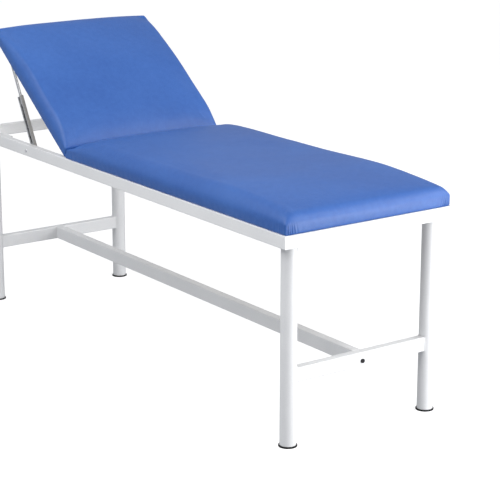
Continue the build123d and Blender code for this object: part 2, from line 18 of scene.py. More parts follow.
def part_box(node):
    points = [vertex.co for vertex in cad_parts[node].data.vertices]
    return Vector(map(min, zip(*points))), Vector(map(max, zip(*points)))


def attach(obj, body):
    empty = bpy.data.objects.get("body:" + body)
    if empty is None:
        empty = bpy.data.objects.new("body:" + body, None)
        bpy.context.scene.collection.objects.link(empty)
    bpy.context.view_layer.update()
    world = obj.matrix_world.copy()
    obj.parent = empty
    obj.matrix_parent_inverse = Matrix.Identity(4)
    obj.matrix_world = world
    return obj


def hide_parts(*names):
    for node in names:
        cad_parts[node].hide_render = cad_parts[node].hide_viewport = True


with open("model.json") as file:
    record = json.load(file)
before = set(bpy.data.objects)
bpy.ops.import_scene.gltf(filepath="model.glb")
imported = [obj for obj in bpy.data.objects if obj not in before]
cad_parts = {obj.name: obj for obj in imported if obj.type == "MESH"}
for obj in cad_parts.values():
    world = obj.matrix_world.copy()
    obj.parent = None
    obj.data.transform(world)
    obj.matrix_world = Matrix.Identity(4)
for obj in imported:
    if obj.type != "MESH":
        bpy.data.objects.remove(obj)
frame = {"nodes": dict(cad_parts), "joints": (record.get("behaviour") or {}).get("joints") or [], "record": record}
nodes = frame["nodes"]
joints = {joint["name"]: joint for joint in frame["joints"]}
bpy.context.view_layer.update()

# %% [markdown]
# ## Camera, floor and light
# The camera stands near the foot end, a little above the pads, with a long lens from almost six
# metres away, so that the far legs look nearly as large as the near ones. It is placed by the two
# angles of its line of sight, which are easy to change by hand.

# %% Camera
camera_target = Vector((0.1503, 0.1383, 0.3629))
camera_distance = 5.90
camera_azimuth = 54.267
camera_elevation = 15.513
camera_roll = 0.159
camera_lens = 126.2


def sight_line(azimuth, elevation):
    """Unit vector from the target to a camera. Azimuth 0 looks along +Y, and 90 along -X."""
    a, e = math.radians(azimuth), math.radians(elevation)
    return Vector((math.sin(a) * math.cos(e), -math.cos(a) * math.cos(e), math.sin(e)))


toward_camera = sight_line(camera_azimuth, camera_elevation)
camera_data = bpy.data.cameras.new("camera")
camera_data.sensor_width = 36
camera_data.lens = camera_lens
camera = bpy.data.objects.new("camera", camera_data)
bpy.context.scene.collection.objects.link(camera)
camera.location = camera_target + toward_camera * camera_distance
aim = (-toward_camera).to_track_quat("-Z", "Y").to_matrix().to_4x4()
roll = Matrix.Rotation(math.radians(camera_roll), 4, "Z")
camera.rotation_euler = (aim @ roll).to_euler()
bpy.context.scene.camera = camera
bpy.context.scene.view_settings.view_transform = "Standard"
print("camera at", tuple(round(x, 3) for x in camera.location))

# %% [markdown]
# A studio shot of a white object on white is hard: with light from everywhere the edges vanish, and
# with one lamp the white turns grey. Here the floor glows a little, like a light table, so that it
# stays white and its shadows stay faint, but it sends no light back to the couch. The couch is lit
# by a dim sky that is darker below the horizon, a large key box on the near side, and two boxes at
# the foot end. The low one gives the vinyl's end its broad bright reflection, and the tall one the
# bright band above the valley between the pads.

# %% Floor and sky
floor_size = 40.0
half_floor = floor_size / 2
wall_sunk = 0.01             # how far the backdrop's foot is below the floor
floor_mesh = bpy.data.meshes.new("floor")
floor_mesh.from_pydata(
    [(-half_floor, -half_floor, 0), (half_floor, -half_floor, 0),
     (half_floor, half_floor, 0), (-half_floor, half_floor, 0)],
    [], [(0, 1, 2, 3)],
)
floor = bpy.data.objects.new("floor", floor_mesh)
bpy.context.scene.collection.objects.link(floor)
floor.visible_diffuse = floor.visible_glossy = False

# a round white wall closes the view of the sky behind the floor's edge
backdrop_mesh = bpy.data.meshes.new("backdrop")
wall_maker = bmesh.new()
bmesh.ops.create_cone(
    wall_maker, segments=64, radius1=half_floor, radius2=half_floor, depth=half_floor,
    matrix=Matrix.Translation((0, 0, half_floor / 2 - wall_sunk)),
)
wall_maker.to_mesh(backdrop_mesh)
wall_maker.free()
backdrop = bpy.data.objects.new("backdrop", backdrop_mesh)
bpy.context.scene.collection.objects.link(backdrop)
backdrop.visible_diffuse = backdrop.visible_glossy = backdrop.visible_shadow = False

world = bpy.data.worlds.new("studio")
bpy.context.scene.world = world
world.use_nodes = True
sky = world.node_tree
direction = sky.nodes.new("ShaderNodeTexCoord")
split = sky.nodes.new("ShaderNodeSeparateXYZ")
blend = sky.nodes.new("ShaderNodeValToRGB")
sky_tones = ((0.0, (0.36, 0.37, 0.39, 1)), (0.26, (0.53, 0.54, 0.56, 1)))
for stop, (height, colour) in zip(blend.color_ramp.elements, sky_tones):
    stop.position = height
    stop.color = colour
sky.links.new(direction.outputs["Generated"], split.inputs[0])
sky.links.new(split.outputs["Z"], blend.inputs["Fac"])
sky.links.new(blend.outputs["Color"], sky.nodes["Background"].inputs["Color"])
print("floor and sky ready")

# %% [markdown]
# The lamps are soft boxes: flat white area lights, each turned to face a point on the couch. Their
# size sets how soft the shading is and how broad the reflection on the vinyl.


# %% Lamps
def soft_box(name, place, aim_at, width, height, power):
    """Rectangular area light that faces a point and isn't seen itself."""
    lamp = bpy.data.lights.new(name, "AREA")
    lamp.shape = "RECTANGLE"
    lamp.size, lamp.size_y = width, height
    lamp.energy = power
    box = bpy.data.objects.new(name, lamp)
    bpy.context.scene.collection.objects.link(box)
    box.location = place
    facing = Vector(aim_at) - Vector(place)
    box.rotation_euler = facing.to_track_quat("-Z", "Y").to_euler()
    box.visible_camera = False
    return box


soft_box("key_box", (0.6, -2.2, 3.0), aim_at=(0.1, 0, 0.6), width=3.0, height=2.0, power=70)
soft_box("tall_foot_box", (2.4, 2.3, 2.2), aim_at=(-0.1, 0, 0.75), width=2.2, height=2.2, power=64)
soft_box("low_foot_box", (2.25, 0.72, 0.38), aim_at=(1.25, 0, 0.68), width=1.5, height=0.6, power=24)

# %% [markdown]
# ## Shader maths
# A finish is mostly arithmetic on noise. Written with nodes one by one it is hard to read, so one
# small class wraps a socket and lets Python's operators add the Math nodes. Every other node comes
# from a single method, which sets the node's own settings first and its sockets after.


# %% A socket that can be used in expressions
class Value:
    """A number that varies over a surface: an output socket, with Python's operators."""

    def __init__(self, finish, socket):
        self.finish = finish
        self.socket = socket

    def maths(self, operation, first, second=0.0):
        return self.finish.node("ShaderNodeMath", {"operation": operation}, {0: first, 1: second})

    def __add__(self, other):
        return self.maths("ADD", self, other)

    def __radd__(self, other):
        return self.maths("ADD", other, self)

    def __sub__(self, other):
        return self.maths("SUBTRACT", self, other)

    def __rsub__(self, other):
        return self.maths("SUBTRACT", other, self)

    def __mul__(self, other):
        return self.maths("MULTIPLY", self, other)

    def __rmul__(self, other):
        return self.maths("MULTIPLY", other, self)


class Finish:
    """A material under construction, with one Principled shader."""

    def __init__(self, name, **constants):
        self.material = bpy.data.materials.new(name)
        self.material.use_nodes = True
        self.tree = self.material.node_tree
        self.shader = self.tree.nodes["Principled BSDF"]
        for socket_name, value in constants.items():
            self.shader.inputs[socket_name.replace("_", " ")].default_value = value
        self.place = self.node("ShaderNodeTexCoord", output="Object")

    def node(self, kind, settings=None, inputs=None, output=0):
        """Any node: its settings first, then its sockets, which take numbers or Values."""
        made = self.tree.nodes.new(kind)
        for setting, value in (settings or {}).items():
            if setting == "stops":
                for stop, (at, colour) in zip(made.color_ramp.elements, value):
                    stop.position, stop.color = at, colour
            else:
                setattr(made, setting, value)
        for name, value in (inputs or {}).items():
            if isinstance(value, Value):
                self.tree.links.new(value.socket, made.inputs[name])
            else:
                made.inputs[name].default_value = value
        return Value(self, made.outputs[output])

    def scaled(self, x, y, z):
        """The surface's own coordinates, stretched along each axis."""
        return self.node("ShaderNodeMapping", inputs={"Vector": self.place, "Scale": (x, y, z)})

    def noise(self, scale, detail=2.0, roughness=0.5, where=None):
        """Soft noise: a higher scale gives finer spots."""
        inputs = {
            "Vector": where or self.place, "Scale": scale, "Detail": detail, "Roughness": roughness,
        }
        return self.node("ShaderNodeTexNoise", inputs=inputs)

    def ramp(self, value, low, high):
        """Stretches the part of a value between low and high to the whole way from 0 to 1."""
        stops = [(low, (0, 0, 0, 1)), (high, (1, 1, 1, 1))]
        return self.node("ShaderNodeValToRGB", {"stops": stops}, {"Fac": value})

    def mix(self, share, first, second):
        """Colour mix: the first where share is 0, the second where it is 1."""
        inputs = {0: share, 6: first, 7: second}
        return self.node("ShaderNodeMix", {"data_type": "RGBA"}, inputs, output=2)

    def feed(self, name, value):
        """Joins a value or colour to a socket of the shader."""
        self.tree.links.new(value.socket, self.shader.inputs[name])

    def bump(self, height, strength, depth):
        """Fine relief in the shading, at most depth metres high."""
        inputs = {"Height": height, "Strength": strength, "Distance": depth}
        self.feed("Normal", self.node("ShaderNodeBump", inputs=inputs))


print("shader helpers ready")

# %% [markdown]
# ## Finishes
# **Powder coat** is a baked plastic skin: satin, with the fine dimples called orange peel, and a
# little uneven in tone where hands and cleaning cloths have been.


# %% White powder coat
def powder_coat():
    finish = Finish("powder_coat", Coat_Weight=0.15, Coat_Roughness=0.25)
    cloudy = finish.noise(5.0, detail=3.0)
    speckle = finish.noise(260.0, detail=1.0)
    tone = 0.72 * finish.ramp(cloudy, 0.35, 0.7) + 0.28 * finish.ramp(speckle, 0.4, 0.62)
    colour = finish.mix(tone, (0.80, 0.805, 0.815, 1), (0.86, 0.865, 0.87, 1))
    finish.feed("Base Color", colour)
    finish.feed("Roughness", 0.32 + 0.12 * cloudy)
    orange_peel = finish.noise(620.0, detail=1.5) + 0.5 * finish.noise(180.0)
    finish.bump(orange_peel, strength=0.10, depth=0.0006)
    return finish.material


print("made", powder_coat().name)

# %% [markdown]
# **Upholstery vinyl** is a knitted cloth with a soft plastic face that is embossed to look like
# leather. The grain is a net of fine valleys round small pebbles, which a Voronoi pattern gives
# well. Broad soft clouds in the tone keep the large plain top from looking like paint.


# %% Blue vinyl
def vinyl(name, deep, light):
    finish = Finish(name, Specular_IOR_Level=0.5)
    clouds = finish.noise(2.6, detail=3.0, roughness=0.55)
    mottle = finish.noise(55.0, detail=3.0)
    wobble = finish.noise(380.0, detail=1.0)
    # the pebbles' places are shaken a little, so that the net doesn't look drawn
    shaking = finish.node("ShaderNodeTexNoise", inputs={"Vector": finish.place, "Scale": 300.0}, output=1)
    shifted = finish.node(
        "ShaderNodeVectorMath", {"operation": "MULTIPLY_ADD"},
        {0: shaking, 1: (0.0012, 0.0012, 0.0012), 2: finish.place},
    )
    pebbles = finish.node(
        "ShaderNodeTexVoronoi", {"feature": "DISTANCE_TO_EDGE"},
        {"Vector": shifted, "Scale": 520.0, "Randomness": 0.9},
    )
    valley = finish.ramp(pebbles, 0.0, 0.16)
    share = 0.55 * clouds + 0.30 * mottle + 0.15 * wobble
    tone = finish.mix(finish.ramp(share, 0.38, 0.64), deep, light)
    shadow = finish.mix(1.0 - valley, tone, tuple(0.72 * c for c in deep[:3]) + (1,))
    finish.feed("Base Color", finish.mix(0.35, tone, shadow))
    finish.feed("Roughness", 0.36 + 0.10 * clouds + 0.08 * (1.0 - valley))
    finish.bump(valley + 0.25 * wobble + 0.15 * mottle, strength=0.22, depth=0.0005)
    return finish.material


blue_vinyl = vinyl("blue_vinyl", (0.030, 0.112, 0.400, 1), (0.046, 0.148, 0.475, 1))
print("made", blue_vinyl.name)

# %% [markdown]
# **Plywood** shows a rotary-cut face with long wavering grain, and on its edges the thin crossed
# layers. The grain is noise stretched along the board; the layers are bands through its thickness.
# The backrest's board leans, so its pattern is turned to lie with it.


# %% Birch plywood
def plywood(name, lean, layer_start, thickness, layer_count=9):
    """Lean is the board's tilt about Y. Layer_start is where its underside lies along its normal."""
    finish = Finish(name, Roughness=0.6)
    turned = finish.node(
        "ShaderNodeMapping", {"vector_type": "POINT"},
        {"Vector": finish.place, "Rotation": (0, lean, 0)},
    )
    stretched = finish.node("ShaderNodeMapping", inputs={"Vector": turned, "Scale": (3.0, 42.0, 42.0)})
    waves = finish.noise(2.2, detail=6.0, roughness=0.65, where=stretched)
    fleck = finish.noise(9.0, detail=2.0, where=stretched)
    depth = finish.node("ShaderNodeSeparateXYZ", inputs={0: turned}, output=2)
    layer = (depth - layer_start) * (layer_count / thickness)
    band = finish.node("ShaderNodeMath", {"operation": "PINGPONG"}, {0: layer, 1: 1.0})
    face = finish.mix(finish.ramp(waves, 0.35, 0.68), (0.48, 0.41, 0.31, 1), (0.63, 0.56, 0.45, 1))
    layered = finish.mix(finish.ramp(band, 0.42, 0.58), (0.28, 0.20, 0.13, 1), (0.55, 0.45, 0.33, 1))
    normal = finish.node("ShaderNodeNewGeometry", output="Normal")
    leaned = Vector((math.sin(lean), 0, math.cos(lean)))
    facing = finish.node(
        "ShaderNodeVectorMath", {"operation": "DOT_PRODUCT"}, {0: normal, 1: leaned}, output=1
    )
    flat = finish.node("ShaderNodeMath", {"operation": "ABSOLUTE"}, {0: facing})
    finish.feed("Base Color", finish.mix(finish.ramp(flat, 0.4, 0.6), layered, face))
    finish.feed("Roughness", 0.52 + 0.2 * fleck)
    finish.bump(waves + 0.3 * fleck, strength=0.2, depth=0.0006)
    return finish.material


print("plywood ready")

# %% [markdown]
# **Zinc plate** on the stays, hinges and bolts is bright but not even: rolled steel keeps faint
# long scratches, and the plating has cloudy duller patches. The toothed racks are darker, with
# grease and dirt between the teeth.


# %% Zinc-plated steel
def zinc(name, bright=(0.74, 0.75, 0.77, 1), dull=(0.34, 0.35, 0.36, 1), grime=0.35, roughness=0.34):
    finish = Finish(name, Metallic=0.75)
    clouds = finish.noise(70.0, detail=4.0, roughness=0.6)
    scratches = finish.noise(30.0, detail=3.0, where=finish.scaled(6.0, 60.0, 6.0))
    spots = finish.noise(240.0, detail=2.0)
    dirt = finish.ramp(0.6 * clouds + 0.4 * spots, 0.42, 0.66) * grime
    finish.feed("Base Color", finish.mix(dirt, bright, dull))
    finish.feed("Roughness", roughness + 0.25 * dirt + 0.12 * scratches)
    finish.bump(scratches + 0.6 * spots, strength=0.12, depth=0.0003)
    return finish.material


print("zinc ready")

# %% [markdown]
# **Rubber glides** are moulded and matt, with a faint pebbled face and floor dust on the rim.
# **Black oxide** on the stretcher bolts is a thin dark skin with a slight oily shine.


# %% Black rubber and black oxide
def black_rubber():
    finish = Finish("black_rubber", Specular_IOR_Level=0.35)
    grain = finish.noise(900.0, detail=2.0)
    dust = finish.noise(40.0, detail=4.0)
    tone = finish.ramp(dust, 0.5, 0.8) * 0.5
    finish.feed("Base Color", finish.mix(tone, (0.010, 0.010, 0.011, 1), (0.045, 0.043, 0.040, 1)))
    finish.feed("Roughness", 0.6 + 0.25 * dust)
    finish.bump(grain, strength=0.25, depth=0.0004)
    return finish.material


def black_oxide():
    finish = Finish("black_oxide", Metallic=0.6, Specular_IOR_Level=0.6)
    cloud = finish.noise(300.0, detail=3.0)
    finish.feed("Base Color", finish.mix(cloud, (0.008, 0.008, 0.009, 1), (0.035, 0.035, 0.038, 1)))
    finish.feed("Roughness", 0.28 + 0.25 * cloud)
    finish.bump(cloud, strength=0.1, depth=0.0003)
    return finish.material


print("rubber and black oxide ready")

# %% [markdown]
# ## Where the boards lie
# Both padded sections start at the hinge axis. The main section points to the foot end and lies
# flat; the backrest points to the head end and rises by the fold angle, which is the hinge's own
# travel. A section is described by that axis, its direction and its normal, and by how far the
# CAD board and pad reach along them.


# %% Sections
hinge_joint = joints["backrest_tilt"]
hinge_axis_point = np.array(hinge_joint["pos_m"])
fold = math.radians(-hinge_joint["range_deg"][0])


class Section:
    """A padded section: distances run from the hinge axis along it, across it and off its board."""

    def __init__(self, name, pad_node, board_node, body, angle, sign):
        self.name = name
        self.pad_node = pad_node
        self.body = body
        self.along = np.array((sign * math.cos(angle), 0.0, math.sin(angle)))
        self.across = np.array((0.0, 1.0, 0.0))
        self.normal = np.array((-sign * math.sin(angle), 0.0, math.cos(angle)))
        self.board_low, self.board_high = self.reach(board_node, self.normal)
        self.length = self.reach(pad_node, self.along)[1]
        self.width = self.reach(pad_node, self.across)[1] * 2

    def reach(self, node, direction):
        """How far a CAD node's vertices reach along a direction, from the hinge axis."""
        flat = np.empty(len(nodes[node].data.vertices) * 3)
        nodes[node].data.vertices.foreach_get("co", flat)
        distances = (flat.reshape(-1, 3) - hinge_axis_point) @ direction
        return distances.min(), distances.max()

    def world(self, points):
        """Points given as along, across and height above the board's underside."""
        points = np.asarray(points)
        return (
            hinge_axis_point
            + points[:, :1] * self.along
            + points[:, 1:2] * self.across
            + (points[:, 2:3] + self.board_low) * self.normal
        )

    def local(self, places):
        """The reverse of world: along, across and height of points given in the shared frame."""
        moved = np.asarray(places) - hinge_axis_point
        height = moved @ self.normal - self.board_low
        return np.stack([moved @ self.along, moved @ self.across, height], axis=1)


main = Section("main", "main_pad", "main_board", "frame", 0.0, 1)
backrest = Section("backrest", "backrest_pad", "backrest_board", "backrest", fold, -1)
for section in (main, backrest):
    print(f"{section.name}: {section.length:.3f} m long, {section.width:.3f} m wide")

# %% [markdown]
# ## Upholstered pads
# A real pad is foam on a plywood board. One sheet of vinyl is pulled over it, down the sides,
# round the board's edge and onto its underside, where it is stapled. So the pad's skin here runs
# from the inner edge of that hem, round the board, up the wall and over the crowned top.
#
# The start shape is a grid: rings of points for the hem and the wall, and a fine grid for the top
# with its lines crowded near the edges, where the curve is tight. The cloth simulation then blows
# the skin up a few millimetres, with the hem and the foot of the wall pinned as the staples hold
# them, which gives the crown and the slack near the corners that a formula would miss. Last come
# the folds at the corners, pressed into the finer mesh after one subdivision.


# %% Sizes of the upholstery
corner_radius = 0.009        # plan radius at the board's corners
hem_width = 0.027            # vinyl turned in under the board
hem_thickness = 0.0007
board_inset = 0.0024         # from the pad's outline to the board's edge
board_slack = 0.00006        # between the skin and the board, so that no faces coincide
wall_top = 0.030             # the wall is upright up to here, above the board's underside
pin_height = 0.013           # below this the vinyl is held by the board's edge
foam_height = 0.050          # above this the vinyl is held only by the foam under it
foam_hold = 0.14
edge_step = 0.003            # grid step near the edges
edge_zone = 0.060            # width of the fine zone
middle_step = 0.015          # grid step elsewhere
contact_gap = 0.0002         # between a pad's end and the plane where the two pads meet
bulge_height = 0.062         # the walls stand out below this height
corner_droop_length = 0.045  # the top falls off towards its corners over about this length
swell_width = 0.18           # how much of a pad's length its swell takes
inflate_cap = 0.006          # the cloth solver moves no point further than this
staple_pitch = 0.028


def grid_lines(length):
    """Places along one side, close together near both ends."""
    first = [0.0, 0.0004, 0.0015]
    fine = list(np.arange(edge_step, edge_zone, edge_step))
    count = round((length - 2 * edge_zone) / middle_step)
    middle = list(np.linspace(edge_zone, length - edge_zone, count))
    low = first + fine
    return np.array(low + middle + [length - x for x in reversed(low)])


def rounded_outline(points, length, width, inset, radius):
    """Moves points near a rectangle's edge onto a rectangle inset from it, with round corners."""
    half = np.array((length / 2 - inset, width / 2 - inset))
    middle = np.array((length / 2, 0.0))
    offset = points - middle
    sign = np.where(offset < 0, -1.0, 1.0)
    scale = half / np.array((length / 2, width / 2))
    size = np.abs(offset) * scale
    corner = half - radius
    over = size - corner
    in_corner = (over > 0).all(axis=1)
    reach = np.linalg.norm(np.where(over > 0, over, 0), axis=1)
    on_arc = corner + over * (radius / np.maximum(reach, 1e-9))[:, None]
    size = np.where(in_corner[:, None], on_arc, size)
    return middle + size * sign


def round_corners(places, length, width, radius):
    """Squeezes a rectangular grid so that its outline gets round corners."""
    half = np.array((length / 2, width / 2))
    middle = np.array((length / 2, 0.0))
    offset = places - middle
    sign = np.where(offset < 0, -1.0, 1.0)
    inner = np.abs(offset) - (half - radius)
    a, b = inner[:, 0], inner[:, 1]
    both = (a > 0) & (b > 0)
    bent = np.stack(
        [a * np.sqrt(1 - b**2 / (2 * radius**2)), b * np.sqrt(1 - a**2 / (2 * radius**2))], axis=1
    )
    inner = np.where(both[:, None], bent, inner)
    return middle + (inner + half - radius) * sign


def rise(distance, radius):
    """Quarter ellipse: 0 at an edge, and 1 from one radius inwards."""
    share = np.clip(1 - distance / radius, 0, 1)
    return np.sqrt(1 - share**2)


print("main pad grid:", len(grid_lines(main.length)), "by", len(grid_lines(main.width)))


# %% [markdown]
# The top's height is the product of four quarter ellipses, one for each side, and a slow crown.
# The ends at the hinge have a much larger round than the sides, because the vinyl is pulled hard
# over them, so the two pads meet in a soft valley.


# %% Start shape of a pad's skin
def pad_start(section, shape):
    """Vertices (along, across, height) and faces of the open skin, and the hem's edge ring."""
    # the section's rectangle starts where the skin's wall starts at the board's level
    length, width = section.length - shape["start"], section.width
    s_lines, y_lines = grid_lines(length), grid_lines(width) - width / 2
    s_grid, y_grid = np.meshgrid(s_lines, y_lines, indexing="ij")
    s, y = s_grid.ravel(), y_grid.ravel()
    near_hinge, near_end = s, length - s
    near_side = np.minimum(width / 2 - y, width / 2 + y)
    crown = (
        shape["top"]
        - shape["hinge_droop"] * np.exp(-near_hinge / shape["hinge_droop_length"])
        - shape["end_droop"] * np.exp(-near_end / shape["end_droop_length"])
        + shape["swell"] * np.exp(-(((s / length) - shape["swell_at"]) / swell_width) ** 2)
        + shape["arch"] * (1 - (2 * y / width) ** 2)
        - shape["hinge_corner_droop"] * np.exp(-np.hypot(near_hinge, near_side) / corner_droop_length)
        - shape["end_corner_droop"] * np.exp(-np.hypot(near_end, near_side) / corner_droop_length)
    )
    rounded = (
        rise(near_hinge, shape["hinge_round"])
        * rise(near_end, shape["end_round"])
        * rise(near_side, shape["side_round"])
    )
    top_heights = wall_top + (crown - wall_top) * rounded
    plan = round_corners(np.stack([s, y], axis=1), length, width, corner_radius)
    vertices = [np.column_stack([plan, top_heights])]
    rows, columns = len(s_lines), len(y_lines)
    faces = [
        (i * columns + j, (i + 1) * columns + j, (i + 1) * columns + j + 1, i * columns + j + 1)
        for i in range(rows - 1)
        for j in range(columns - 1)
    ]
    border = (
        [(i, 0) for i in range(rows)]
        + [(rows - 1, j) for j in range(1, columns)]
        + [(i, columns - 1) for i in range(rows - 2, -1, -1)]
        + [(0, j) for j in range(columns - 2, 0, -1)]
    )
    ring = [i * columns + j for i, j in border]
    outline = np.array([(s_lines[i], y_lines[j]) for i, j in border])
    # wall and hem, from the top of the wall downwards: inset from the outline, and height
    wall = [(0.0, height) for height in (0.025, 0.020, 0.015, 0.010, 0.006)]
    turn = [(0.0004, 0.003), (0.0014, 0.0008), (0.0032, -hem_thickness)]
    hem = [(share * hem_width, -hem_thickness) for share in (0.3, 0.6, 1.0)]
    count = len(vertices[0])
    for inset, height in wall + turn + hem:
        radius = max(corner_radius - inset, 0.003)
        loop = rounded_outline(outline, length, width, inset, radius)
        vertices.append(np.column_stack([loop, np.full(len(loop), height)]))
        new_ring = list(range(count, count + len(loop)))
        faces += [
            (ring[k], ring[k - 1], new_ring[k - 1], new_ring[k]) for k in range(len(ring))
        ]
        ring, count = new_ring, count + len(loop)
    points = np.concatenate(vertices)
    # foam stands out between the corners and over the board's edge
    stand_out = np.sin(math.pi * np.clip(points[:, 2] / bulge_height, 0, 1))
    along_share = np.clip(points[:, 0] / length, 0, 1)
    across_share = np.clip(points[:, 1] / (width / 2), -1, 1)
    side_bulge = shape["side_bulge"] * stand_out * (1 - (2 * along_share - 1) ** 4)
    end_bulge = shape["end_bulge"] * stand_out * (1 - across_share**4)
    points[:, 1] += side_bulge * across_share**3
    points[:, 0] += end_bulge * along_share**24
    # the hinge end leans by half of the fold, so that both pads meet in one plane
    lean = math.tan(fold / 2)
    start = shape["start"] + lean * (points[:, 2] + section.board_low)
    points[:, 0] = start + points[:, 0] * (section.length - start) / length
    return points, faces, ring, length


main_shape = {
    "start": 0.0006, "top": 0.0752, "arch": 0.002, "side_bulge": 0.005, "end_bulge": 0.003,
    "hinge_round": 0.105, "end_round": 0.028, "side_round": 0.040,
    "hinge_droop": 0.022, "hinge_droop_length": 0.056, "hinge_corner_droop": 0.036,
    "end_droop": 0.020, "end_droop_length": 0.133, "end_corner_droop": 0.0,
    "swell": 0.008, "swell_at": 0.76,
}
backrest_shape = {
    "start": 0.0006, "top": 0.0685, "arch": 0.007, "side_bulge": 0.004, "end_bulge": 0.004,
    "hinge_round": 0.097, "end_round": 0.033, "side_round": 0.018,
    "hinge_droop": 0.011, "hinge_droop_length": 0.038, "hinge_corner_droop": 0.010,
    "end_droop": 0.026, "end_droop_length": 0.137, "end_corner_droop": 0.028,
    "swell": 0.005, "swell_at": 0.57,
}

# %% [markdown]
# The cloth step uses Blender's own solver. Gravity is off, because foam carries the sheet from
# inside, and a small pressure stands for the foam. The pin group has weights between 0 and 1, which
# act as springs to the start shape: firm at the board's edge, where the sheet is stapled and glued,
# and weak over the foam. Without them the dome would drag the walls in. What the solver moves is
# capped with a smooth curve: tanh keeps small moves as they are and flattens out at the cap.


# %% Cloth simulation of a skin
def inflate(points, faces, hold, cap, pressure=2.0, frames=20):
    """Blows a skin up, held where hold is above 0, and returns its points, moved by at most cap."""
    mesh = bpy.data.meshes.new("cloth_trial")
    mesh.from_pydata([tuple(p) for p in points], [], faces)
    trial = bpy.data.objects.new("cloth_trial", mesh)
    bpy.context.scene.collection.objects.link(trial)
    group = trial.vertex_groups.new(name="hold")
    for level in np.unique(hold):
        group.add([int(i) for i in np.nonzero(hold == level)[0]], float(level), "REPLACE")
    cloth = trial.modifiers.new("cloth", "CLOTH")
    cloth.settings.quality = 5
    cloth.settings.mass = 0.4
    cloth.settings.tension_stiffness = 18
    cloth.settings.compression_stiffness = 18
    cloth.settings.bending_stiffness = 2.0
    cloth.settings.use_pressure = True
    cloth.settings.uniform_pressure_force = pressure
    cloth.settings.vertex_group_mass = "hold"
    cloth.settings.effector_weights.gravity = 0
    cloth.point_cache.frame_start, cloth.point_cache.frame_end = 1, frames
    for step in range(1, frames + 1):
        bpy.context.scene.frame_set(step)
    settled = trial.evaluated_get(bpy.context.evaluated_depsgraph_get())
    flat = np.empty(len(points) * 3)
    settled.data.vertices.foreach_get("co", flat)
    bpy.context.scene.frame_set(1)
    bpy.data.objects.remove(trial)
    bpy.data.meshes.remove(mesh)
    moved = flat.reshape(-1, 3) - points
    size = np.linalg.norm(moved, axis=1, keepdims=True)
    return points + moved * (cap * np.tanh(size / cap) / np.maximum(size, 1e-9))


# %% [markdown]
# Vinyl can't stretch round a corner, so the spare sheet is gathered into a few narrow folds that
# start at the board and fade out half way up the wall. They are pressed in as grooves, each with
# its own place, width and depth, and softer puckers run along the edges between the staples.


# %% Folds and puckers
fold_places = (0.0095, 0.0175, 0.0255, 0.0345, 0.0450)
fold_widths = (0.0020, 0.0018, 0.0021, 0.0019, 0.0024)
fold_depths = (0.0038, 0.0030, 0.0035, 0.0024, 0.0014)
fold_height = 0.046
side_fold_share = 0.15       # folds on the long sides are this much as deep as those on the ends
pucker_depth = 0.00035
pucker_height = 0.010        # puckers are deepest at this height
pucker_reach = 0.012
wave_height = 0.0007         # slow unevenness of the stretched vinyl


def press_folds(section, points, normals):
    """Moves a finished skin's points in by its corner folds and edge puckers."""
    lean = math.tan(fold / 2)
    from_hinge = points[:, 0] - lean * (points[:, 2] + section.board_low)
    from_end = section.length - points[:, 0]
    from_side = section.width / 2 - np.abs(points[:, 1])
    height = points[:, 2]
    fade = np.clip(1 - height / fold_height, 0, 1) * (height > -hem_thickness / 2)
    end_facing = np.clip(np.abs(normals[:, 0]) * 1.6 - 0.6, 0, 1)
    side_facing = np.clip(np.abs(normals[:, 1]) * 1.6 - 0.6, 0, 1)
    sunk = np.zeros(len(points))
    for place, width, depth in zip(fold_places, fold_widths, fold_depths):
        # folds lean a little towards the corner as they go up
        on_end = from_side - place * (1 - 0.25 * height / fold_height)
        sunk += depth * np.exp(-((on_end / width) ** 2)) * end_facing * fade
        along_side = np.minimum(from_end, from_hinge) - 1.4 * place
        sunk += side_fold_share * depth * np.exp(-((along_side / (1.5 * width)) ** 2)) * side_facing * fade
    low_band = np.exp(-(((height - pucker_height) / pucker_reach) ** 2))
    ripple_side = np.cos(2 * math.pi * points[:, 0] / staple_pitch)
    ripple_end = np.cos(2 * math.pi * points[:, 1] / staple_pitch)
    pucker = pucker_depth * low_band * (ripple_side * side_facing + ripple_end * end_facing)
    slow = np.array([
        noise.noise(Vector((p[0] * 9, p[1] * 9, section.length * 40)))
        + 0.5 * noise.noise(Vector((p[0] * 23, p[1] * 23, section.width * 50)))
        for p in points
    ])
    wave = wave_height * slow * np.clip((height - 0.015) / 0.03, 0, 1)
    return points - normals * (sunk + pucker)[:, None] + normals * wave[:, None]


print("folds at each corner:", len(fold_places))

# %% [markdown]
# A pad is then put together: the skin is simulated, subdivided once, folded, placed on its body and
# closed round the board. It takes the place of the plain CAD pad, and fills as foam does.


# %% Building one pad
def smooth_object(name, points, faces, levels=0):
    """New object from points and faces, smooth shaded, with subdivision applied if asked."""
    mesh = bpy.data.meshes.new(name)
    mesh.from_pydata([tuple(p) for p in points], [], faces)
    mesh.polygons.foreach_set("use_smooth", [True] * len(mesh.polygons))
    made = bpy.data.objects.new(name, mesh)
    bpy.context.scene.collection.objects.link(made)
    if levels:
        finer = made.modifiers.new("finer", "SUBSURF")
        finer.levels = finer.render_levels = levels
        applied = bpy.data.meshes.new_from_object(
            made.evaluated_get(bpy.context.evaluated_depsgraph_get())
        )
        made.modifiers.clear()
        made.data = applied
        bpy.data.meshes.remove(mesh)
        applied.name = name
    return made


def mesh_points(mesh):
    """A mesh's vertices as an array of rows."""
    flat = np.empty(len(mesh.vertices) * 3)
    mesh.vertices.foreach_get("co", flat)
    return flat.reshape(-1, 3)


